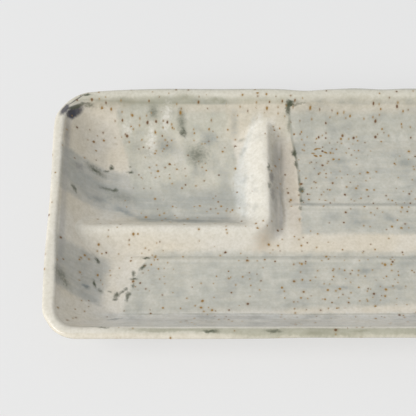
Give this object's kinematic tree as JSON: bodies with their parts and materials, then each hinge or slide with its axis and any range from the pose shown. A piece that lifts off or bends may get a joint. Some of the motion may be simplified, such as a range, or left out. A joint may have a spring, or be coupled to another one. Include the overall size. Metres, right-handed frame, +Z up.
{
  "type": "dumpling plate",
  "caption": "Oblong stoneware plate with flared walls, a rolled lip, a dished sauce well behind an L-shaped ridge, low floor ribs and a foot ring.",
  "frame": {"origin": "on the table, under the middle of the plate", "axes": "+X along the plate, away from the sauce well's end; +Y to the back, where the sauce well is; +Z up"},
  "size_m": [0.24, 0.14, 0.0265],
  "materials": {
    "brushed_glaze": "glossy glaze over brushed grey slip, with iron speckle",
    "cream_glaze": "glossy clear glaze over cream clay, with iron speckle",
    "raw_clay": "unglazed fired clay"
  },
  "bodies": {
    "root": {"floor_slab": "brushed_glaze", "wall_band": "brushed_glaze", "sauce_divider": "cream_glaze", "front_rib": "brushed_glaze", "back_rib": "brushed_glaze", "foot_ring": "raw_clay"}
  },
  "joints": []
}
